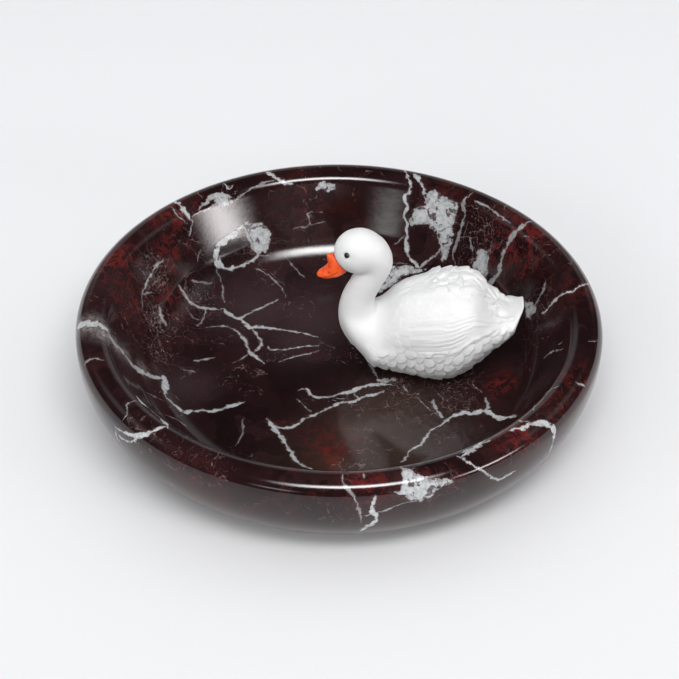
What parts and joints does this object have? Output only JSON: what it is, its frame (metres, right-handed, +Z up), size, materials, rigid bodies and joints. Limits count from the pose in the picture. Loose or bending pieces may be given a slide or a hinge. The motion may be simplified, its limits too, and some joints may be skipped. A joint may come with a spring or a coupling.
{
  "type": "ring dish",
  "caption": "Round turned stone dish with a thick round rim and a flat floor, holding a small cast white swan that stands loose on the floor as a ring holder.",
  "frame": {"origin": "middle of the dish's flat foot, on the surface that it stands on", "axes": "+Z up along the dish's turning axis; the swan stands on the +X side of the floor, looks along -X and shows its left flank to -Y"},
  "size_m": [0.127, 0.127, 0.0459],
  "materials": {
    "stone": "polished",
    "swan": "matte",
    "bill": "satin",
    "eyes": "gloss"
  },
  "bodies": {
    "dish": {"dish": "stone"},
    "swan": {"swan": "swan", "bill": "bill", "left_eye": "eyes", "right_eye": "eyes"}
  },
  "joints": [
    {"name": "swan_lift", "type": "slide", "parent": "dish", "child": "swan", "axis": [0, 0, 1], "range_m": [0, 0.06]}
  ]
}
